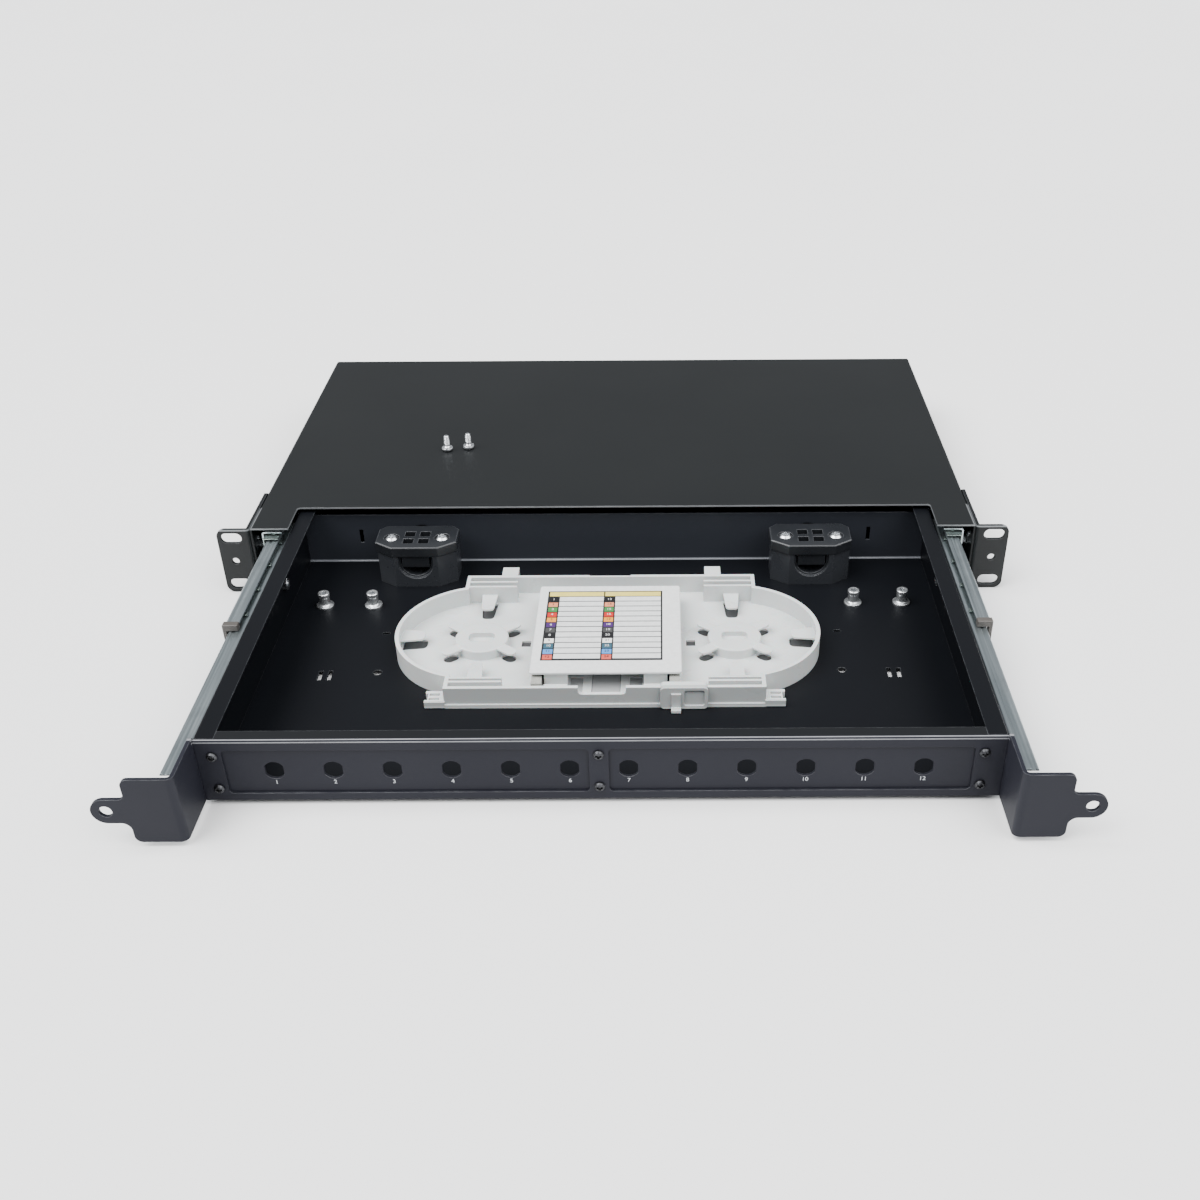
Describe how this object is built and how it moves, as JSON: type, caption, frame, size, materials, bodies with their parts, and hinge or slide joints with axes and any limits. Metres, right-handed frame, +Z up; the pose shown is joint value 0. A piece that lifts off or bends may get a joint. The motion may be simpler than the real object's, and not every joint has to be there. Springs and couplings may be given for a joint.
{
  "type": "fibre optic patch panel",
  "caption": "Black one-unit rack patch panel for fibre optics: a drawer on ball slides, drawn out, with adapter holes, cable clamps and a white splice tray.",
  "frame": {"origin": "centre of the rack-mounting slots' pattern, on the front face of the case's ears", "axes": "+X to the right seen from the front, +Y to the rear of the rack, +Z up"},
  "size_m": [0.4826, 0.506, 0.0543],
  "materials": {
    "case_coat": "fine black powder coat",
    "ear_coat": "fine dark powder coat",
    "drawer_coat": "fine black powder coat",
    "zinc": "bright zinc-plated steel sheet",
    "screw_zinc": "bright zinc-plated fasteners",
    "black_screw": "black oxide fasteners",
    "clamp_plastic": "moulded black plastic",
    "tray_plastic": "moulded white plastic",
    "label": "printed colour table on plastic",
    "bumper": "dark grey moulded plastic",
    "foam": "beige foam"
  },
  "bodies": {
    "case": {"case_cover": "case_coat", "case_base": "case_coat", "rack_ear_left": "ear_coat", "rack_ear_right": "ear_coat", "slide_outer_left": "zinc", "slide_outer_right": "zinc", "slide_spacers": "zinc", "slide_rivets": "screw_zinc", "ear_screws": "black_screw", "cover_screws": "black_screw", "locking_screws": "screw_zinc"},
    "drawer": {"adapter_plate": "drawer_coat", "anchor_posts": "screw_zinc", "clamp_body_left": "clamp_plastic", "clamp_body_right": "clamp_plastic", "clamp_cover_left": "clamp_plastic", "clamp_cover_right": "clamp_plastic", "clamp_screws": "screw_zinc", "drawer_ear_left": "ear_coat", "drawer_ear_right": "ear_coat", "drawer_floor": "drawer_coat", "drawer_front": "drawer_coat", "drawer_side_left": "drawer_coat", "drawer_side_right": "drawer_coat", "front_screws": "black_screw", "leg_screws": "black_screw", "slide_inner_left": "zinc", "slide_inner_right": "zinc", "slide_nuts": "screw_zinc", "slide_screws": "screw_zinc", "slide_washers": "zinc", "splice_cover": "label", "splice_holder": "tray_plastic", "splice_pads": "foam", "splice_tray": "tray_plastic", "tray_latch": "tray_plastic", "tray_screws": "screw_zinc"},
    "middle_left": {"slide_middle_left": "zinc", "slide_bumper_left": "bumper"},
    "outer_cage_left": {"ball_cage_outer_left": "zinc"},
    "inner_cage_left": {"ball_cage_inner_left": "zinc"},
    "middle_right": {"slide_middle_right": "zinc", "slide_bumper_right": "bumper"},
    "outer_cage_right": {"ball_cage_outer_right": "zinc"},
    "inner_cage_right": {"ball_cage_inner_right": "zinc"}
  },
  "joints": [
    {"name": "drawer_slide", "type": "slide", "parent": "case", "child": "drawer", "axis": [0, 1, 0], "range_m": [0, 0.2338]},
    {"name": "middle_slide_left", "type": "slide", "parent": "case", "child": "middle_left", "axis": [0, 1, 0], "range_m": [0, 0.1169]},
    {"name": "outer_cage_slide_left", "type": "slide", "parent": "case", "child": "outer_cage_left", "axis": [0, 1, 0], "range_m": [0, 0.05845]},
    {"name": "inner_cage_slide_left", "type": "slide", "parent": "case", "child": "inner_cage_left", "axis": [0, 1, 0], "range_m": [0, 0.17535]},
    {"name": "middle_slide_right", "type": "slide", "parent": "case", "child": "middle_right", "axis": [0, 1, 0], "range_m": [0, 0.1169]},
    {"name": "outer_cage_slide_right", "type": "slide", "parent": "case", "child": "outer_cage_right", "axis": [0, 1, 0], "range_m": [0, 0.05845]},
    {"name": "inner_cage_slide_right", "type": "slide", "parent": "case", "child": "inner_cage_right", "axis": [0, 1, 0], "range_m": [0, 0.17535]}
  ],
  "couplings": [
    {"joint": "middle_slide_left", "follows": "drawer_slide", "ratio": 0.5},
    {"joint": "outer_cage_slide_left", "follows": "drawer_slide", "ratio": 0.25},
    {"joint": "inner_cage_slide_left", "follows": "drawer_slide", "ratio": 0.75},
    {"joint": "middle_slide_right", "follows": "drawer_slide", "ratio": 0.5},
    {"joint": "outer_cage_slide_right", "follows": "drawer_slide", "ratio": 0.25},
    {"joint": "inner_cage_slide_right", "follows": "drawer_slide", "ratio": 0.75}
  ]
}
